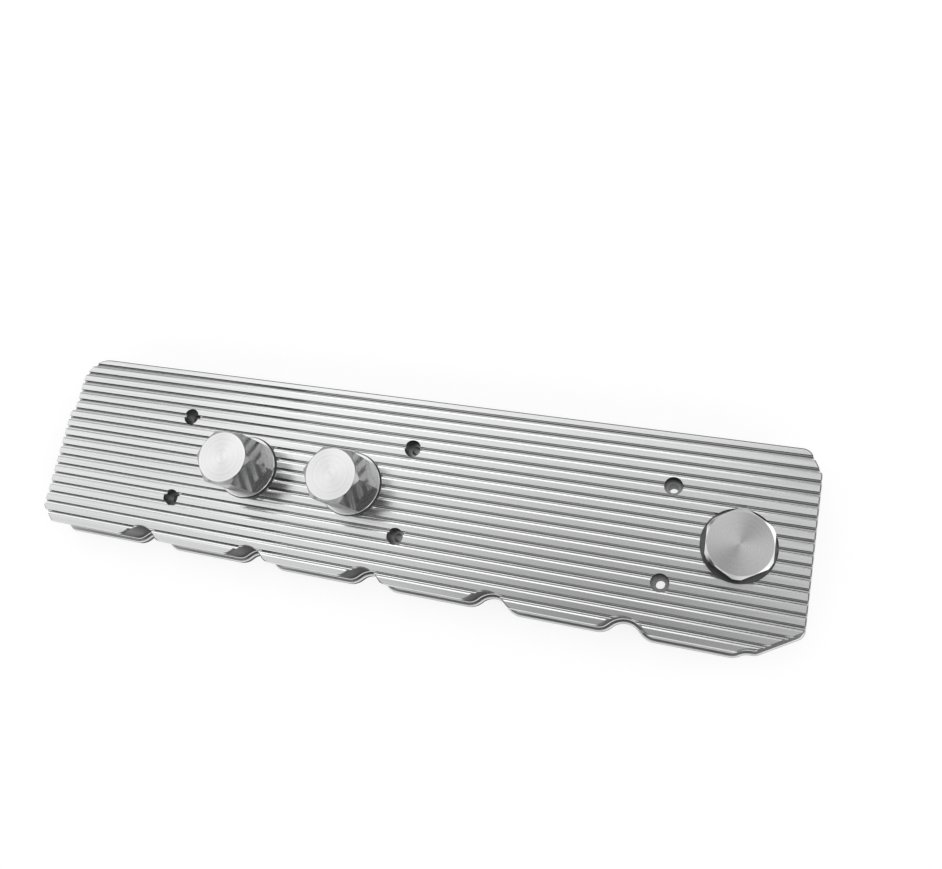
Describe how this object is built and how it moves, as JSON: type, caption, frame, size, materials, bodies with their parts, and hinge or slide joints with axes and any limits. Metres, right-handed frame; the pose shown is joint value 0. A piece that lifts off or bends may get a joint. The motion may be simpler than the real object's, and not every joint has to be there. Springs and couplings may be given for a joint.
{
  "type": "engine valve cover",
  "caption": "Long milled engine valve cover with a ribbed plate, a stepped flange scalloped along one side, tall hex port caps and a low hex fill cap.",
  "frame": {"origin": "centre of the flange outline on the gasket face", "axes": "+X along the length towards the fill cap, +Y towards the straight side, +Z out of the ribbed plate"},
  "size_m": [0.7516, 0.1856, 0.0925],
  "materials": {
    "cover_metal": "milled, fine cutter lines along the length",
    "cap_metal": "turned and milled, bright",
    "seal_rubber": "matt black",
    "baffle_metal": "galvanised sheet",
    "screw_metal": "plain steel"
  },
  "bodies": {
    "cover": {"cover_body": "cover_metal", "baffle_plate_1": "baffle_metal", "baffle_plate_2": "baffle_metal", "baffle_screw_1": "screw_metal", "baffle_screw_2": "screw_metal", "baffle_screw_3": "screw_metal", "baffle_screw_4": "screw_metal"},
    "port_cap_1_seal_body": {"port_cap_seal_1": "seal_rubber"},
    "port_cap_1_body": {"port_cap_1": "cap_metal"},
    "port_cap_2_seal_body": {"port_cap_seal_2": "seal_rubber"},
    "port_cap_2_body": {"port_cap_2": "cap_metal"},
    "fill_cap_seal_body": {"fill_cap_seal": "seal_rubber"},
    "fill_cap_body": {"fill_cap": "cap_metal"}
  },
  "joints": [
    {"name": "port_cap_1_lift", "type": "slide", "parent": "cover", "child": "port_cap_1_seal_body", "axis": [0, 0, 1], "range_m": [0, 0.009]},
    {"name": "port_cap_1_turn", "type": "hinge", "parent": "port_cap_1_seal_body", "child": "port_cap_1_body", "pos_m": [-0.15049, -0.00193, 0.0425], "axis": [0, 0, 1], "range_deg": [0, 2160]},
    {"name": "port_cap_2_lift", "type": "slide", "parent": "cover", "child": "port_cap_2_seal_body", "axis": [0, 0, 1], "range_m": [0, 0.009]},
    {"name": "port_cap_2_turn", "type": "hinge", "parent": "port_cap_2_seal_body", "child": "port_cap_2_body", "pos_m": [-0.04014, -0.00193, 0.0425], "axis": [0, 0, 1], "range_deg": [0, 2160]},
    {"name": "fill_cap_lift", "type": "slide", "parent": "cover", "child": "fill_cap_seal_body", "axis": [0, 0, 1], "range_m": [0, 0.01]},
    {"name": "fill_cap_turn", "type": "hinge", "parent": "fill_cap_seal_body", "child": "fill_cap_body", "pos_m": [0.3125, -0.00193, 0.0385], "axis": [0, 0, 1], "range_deg": [0, 1800]}
  ],
  "couplings": [
    {"joint": "port_cap_1_lift", "follows": "port_cap_1_turn", "m_per_rad": 0.00023873},
    {"joint": "port_cap_2_lift", "follows": "port_cap_2_turn", "m_per_rad": 0.00023873},
    {"joint": "fill_cap_lift", "follows": "fill_cap_turn", "m_per_rad": 0.00031831}
  ]
}
